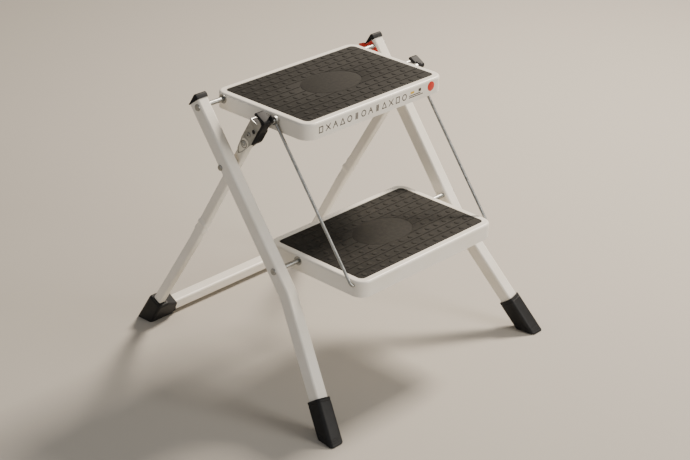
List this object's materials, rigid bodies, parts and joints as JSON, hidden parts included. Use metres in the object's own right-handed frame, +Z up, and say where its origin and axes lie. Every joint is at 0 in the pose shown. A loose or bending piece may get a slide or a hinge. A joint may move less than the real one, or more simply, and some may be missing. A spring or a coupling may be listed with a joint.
{
  "type": "folding step ladder",
  "caption": "Folding two-step ladder: steel tube legs, two mat-topped tray steps on cross rods, wire stays, hinged rear frame and slide latches.",
  "frame": {"origin": "on the floor, under the middle of the unfolded ladder", "axes": "+Z up, +X to the right of a person facing the steps, -Y towards that person"},
  "size_m": [0.528, 0.5186, 0.4607],
  "materials": {
    "powder_coat": "satin off-white powder coat on steel",
    "zinc": "zinc-plated steel, satin",
    "plastic": "moulded black plastic",
    "foot_rubber": "moulded black rubbery plastic",
    "mat_rubber": "ribbed charcoal rubber"
  },
  "bodies": {
    "front_frame": {"front_leg_left": "powder_coat", "front_leg_right": "powder_coat", "top_rod": "zinc", "lower_rod": "zinc", "leg_cap_left": "plastic", "leg_cap_right": "plastic", "front_foot_left": "foot_rubber", "front_foot_right": "foot_rubber", "pivot_rivets": "zinc", "pivot_spacers": "plastic"},
    "top_step": {"top_tray": "powder_coat", "top_mat": "mat_rubber", "top_bushes": "zinc", "stay_studs": "zinc"},
    "lower_step": {"lower_tray": "powder_coat", "lower_mat": "mat_rubber", "lower_bushes": "zinc"},
    "stay_left": {"stay_left": "zinc"},
    "stay_right": {"stay_right": "zinc"},
    "rear_frame": {"rear_leg_left": "powder_coat", "rear_leg_right": "powder_coat", "rear_crossbar": "powder_coat", "rear_foot_left": "foot_rubber", "rear_foot_right": "foot_rubber", "leg_head_left": "zinc", "leg_head_right": "zinc", "leg_head_rivets": "zinc", "leg_end_plugs": "plastic"},
    "latch_left": {"latch_left": "plastic"},
    "latch_right": {"latch_right": "plastic"}
  },
  "joints": [
    {"name": "fold", "type": "hinge", "parent": "front_frame", "child": "top_step", "pos_m": [0, 0.08834, 0.4405], "axis": [1, 0, 0], "range_deg": [0, 49]},
    {"name": "lower_step_fold", "type": "hinge", "parent": "front_frame", "child": "lower_step", "pos_m": [0, -0.08116, 0.2185], "axis": [1, 0, 0], "range_deg": [0, 49]},
    {"name": "rear_frame_fold", "type": "hinge", "parent": "front_frame", "child": "rear_frame", "pos_m": [0, 0.03771, 0.35523], "axis": [-1, 0, 0], "range_deg": [0, 60.5]},
    {"name": "stay_left_swing", "type": "hinge", "parent": "top_step", "child": "stay_left", "pos_m": [-0.164, -0.02914, 0.44138], "axis": [-1, 0, 0], "range_deg": [0, 49]},
    {"name": "stay_right_swing", "type": "hinge", "parent": "top_step", "child": "stay_right", "pos_m": [0.164, -0.02914, 0.44138], "axis": [-1, 0, 0], "range_deg": [0, 49]},
    {"name": "latch_left_slide", "type": "slide", "parent": "rear_frame", "child": "latch_left", "axis": [0, -0.4985, 0.8669], "range_m": [0, 0.006]},
    {"name": "latch_right_slide", "type": "slide", "parent": "rear_frame", "child": "latch_right", "axis": [0, -0.4985, 0.8669], "range_m": [0, 0.006]}
  ],
  "couplings": [
    {"joint": "lower_step_fold", "follows": "fold", "ratio": 1},
    {"joint": "rear_frame_fold", "follows": "fold", "ratio": 1.2347},
    {"joint": "stay_left_swing", "follows": "fold", "ratio": 1},
    {"joint": "stay_right_swing", "follows": "fold", "ratio": 1}
  ]
}
